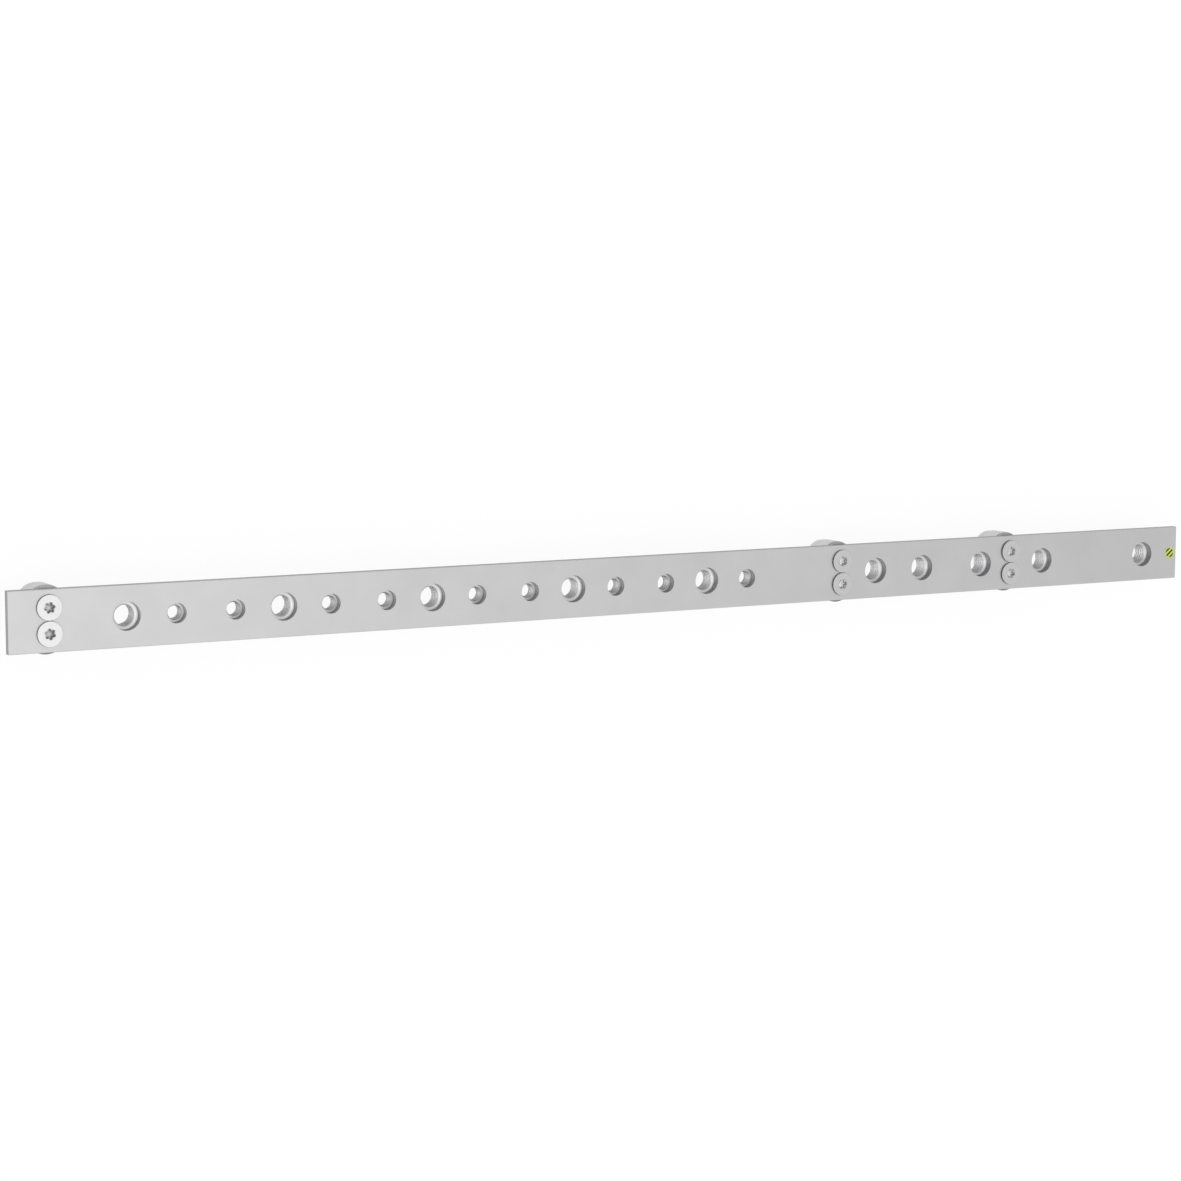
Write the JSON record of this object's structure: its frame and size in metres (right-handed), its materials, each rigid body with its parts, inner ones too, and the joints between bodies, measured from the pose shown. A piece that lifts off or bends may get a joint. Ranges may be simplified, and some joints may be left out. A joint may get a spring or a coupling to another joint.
{
  "type": "copper busbar",
  "caption": "Flat tin-plated copper busbar with large and small threaded terminals, held on long-round spacers by countersunk screws, for earthing in a power or cooling cabinet.",
  "frame": {"origin": "on the surface that the spacers' backs lie on, under the middle of the bar", "axes": "+X along the bar towards the end with the earth marker, +Y across the bar, +Z out of the terminal side"},
  "size_m": [0.696, 0.0332, 0.022],
  "materials": {
    "tinned_copper": "satin tin plating",
    "nut_steel": "bright zinc",
    "spacer_steel": "satin zinc",
    "screw_steel": "bright zinc",
    "marker_film": "matt film"
  },
  "bodies": {
    "root": {"busbar": "tinned_copper", "large_nut_1": "nut_steel", "large_nut_2": "nut_steel", "large_nut_3": "nut_steel", "large_nut_4": "nut_steel", "large_nut_5": "nut_steel", "large_nut_6": "nut_steel", "large_nut_7": "nut_steel", "large_nut_8": "nut_steel", "large_nut_9": "nut_steel", "large_nut_10": "nut_steel", "small_nut_1": "nut_steel", "small_nut_2": "nut_steel", "small_nut_3": "nut_steel", "small_nut_4": "nut_steel", "small_nut_5": "nut_steel", "small_nut_6": "nut_steel", "small_nut_7": "nut_steel", "small_nut_8": "nut_steel", "small_nut_9": "nut_steel", "spacer_left": "spacer_steel", "spacer_middle": "spacer_steel", "spacer_right": "spacer_steel", "screw_left_upper": "screw_steel", "screw_left_lower": "screw_steel", "screw_middle_upper": "screw_steel", "screw_middle_lower": "screw_steel", "screw_right_upper": "screw_steel", "screw_right_lower": "screw_steel", "earth_marker": "marker_film"}
  },
  "joints": []
}
